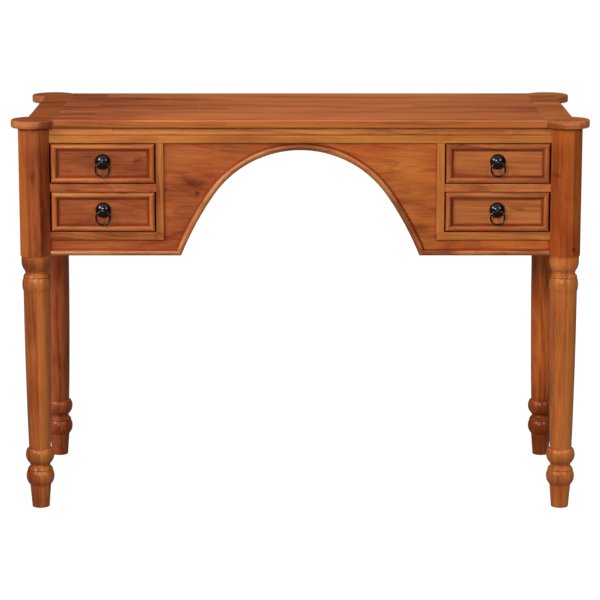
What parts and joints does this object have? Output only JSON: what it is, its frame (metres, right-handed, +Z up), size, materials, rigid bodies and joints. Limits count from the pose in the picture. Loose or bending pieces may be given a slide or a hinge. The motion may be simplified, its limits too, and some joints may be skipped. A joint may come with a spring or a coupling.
{
  "type": "desk with drawers",
  "caption": "Wooden writing desk on turned legs, with ring-pull drawers on both sides of an arched knee space.",
  "frame": {"origin": "on the floor under the middle of the top", "axes": "+X to the right seen from the front, +Y to the back, +Z up"},
  "size_m": [1.1, 0.5, 0.76],
  "materials": {
    "mahogany": "satin lacquer",
    "inner_wood": "sanded",
    "black_iron": "gloss black",
    "zinc_steel": "zinc plated"
  },
  "bodies": {
    "carcase": {"top_middle": "mahogany", "top_end_left": "mahogany", "top_end_right": "mahogany", "leg_front_left": "mahogany", "leg_front_right": "mahogany", "leg_back_left": "mahogany", "leg_back_right": "mahogany", "front_rail": "mahogany", "back_rail": "mahogany", "front_panel_left": "mahogany", "front_panel_right": "mahogany", "back_panel_left": "mahogany", "back_panel_right": "mahogany", "side_panel_left": "mahogany", "side_panel_right": "mahogany", "bank_side_left": "mahogany", "bank_side_right": "mahogany", "drawer_rails": "mahogany", "frieze_strips": "mahogany", "frame_strips": "mahogany", "edge_beads": "mahogany", "drawer_runners": "inner_wood", "top_battens": "inner_wood", "top_screws": "zinc_steel"},
    "upper_left_drawer": {"upper_left_drawer_front": "mahogany", "upper_left_drawer_moulding": "mahogany", "upper_left_drawer_inner_side": "inner_wood", "upper_left_drawer_outer_side": "inner_wood", "upper_left_drawer_back": "inner_wood", "upper_left_drawer_bottom": "inner_wood", "upper_left_pull_boss": "black_iron", "upper_left_pull_post": "black_iron"},
    "upper_left_ring": {"upper_left_pull_ring": "black_iron"},
    "upper_right_drawer": {"upper_right_drawer_front": "mahogany", "upper_right_drawer_moulding": "mahogany", "upper_right_drawer_inner_side": "inner_wood", "upper_right_drawer_outer_side": "inner_wood", "upper_right_drawer_back": "inner_wood", "upper_right_drawer_bottom": "inner_wood", "upper_right_pull_boss": "black_iron", "upper_right_pull_post": "black_iron"},
    "upper_right_ring": {"upper_right_pull_ring": "black_iron"},
    "lower_left_drawer": {"lower_left_drawer_front": "mahogany", "lower_left_drawer_moulding": "mahogany", "lower_left_drawer_inner_side": "inner_wood", "lower_left_drawer_outer_side": "inner_wood", "lower_left_drawer_back": "inner_wood", "lower_left_drawer_bottom": "inner_wood", "lower_left_pull_boss": "black_iron", "lower_left_pull_post": "black_iron"},
    "lower_left_ring": {"lower_left_pull_ring": "black_iron"},
    "lower_right_drawer": {"lower_right_drawer_front": "mahogany", "lower_right_drawer_moulding": "mahogany", "lower_right_drawer_inner_side": "inner_wood", "lower_right_drawer_outer_side": "inner_wood", "lower_right_drawer_back": "inner_wood", "lower_right_drawer_bottom": "inner_wood", "lower_right_pull_boss": "black_iron", "lower_right_pull_post": "black_iron"},
    "lower_right_ring": {"lower_right_pull_ring": "black_iron"}
  },
  "joints": [
    {"name": "upper_left_drawer_slide", "type": "slide", "parent": "carcase", "child": "upper_left_drawer", "axis": [0, -1, 0], "range_m": [0, 0.28]},
    {"name": "upper_left_ring_swing", "type": "hinge", "parent": "upper_left_drawer", "child": "upper_left_ring", "pos_m": [-0.37612, -0.2264, 0.679], "axis": [-1, 0, 0], "range_deg": [0, 175]},
    {"name": "upper_right_drawer_slide", "type": "slide", "parent": "carcase", "child": "upper_right_drawer", "axis": [0, -1, 0], "range_m": [0, 0.28]},
    {"name": "upper_right_ring_swing", "type": "hinge", "parent": "upper_right_drawer", "child": "upper_right_ring", "pos_m": [0.37612, -0.2264, 0.679], "axis": [-1, 0, 0], "range_deg": [0, 175]},
    {"name": "lower_left_drawer_slide", "type": "slide", "parent": "carcase", "child": "lower_left_drawer", "axis": [0, -1, 0], "range_m": [0, 0.28]},
    {"name": "lower_left_ring_swing", "type": "hinge", "parent": "lower_left_drawer", "child": "lower_left_ring", "pos_m": [-0.37612, -0.2264, 0.586], "axis": [-1, 0, 0], "range_deg": [0, 175]},
    {"name": "lower_right_drawer_slide", "type": "slide", "parent": "carcase", "child": "lower_right_drawer", "axis": [0, -1, 0], "range_m": [0, 0.28]},
    {"name": "lower_right_ring_swing", "type": "hinge", "parent": "lower_right_drawer", "child": "lower_right_ring", "pos_m": [0.37612, -0.2264, 0.586], "axis": [-1, 0, 0], "range_deg": [0, 175]}
  ]
}
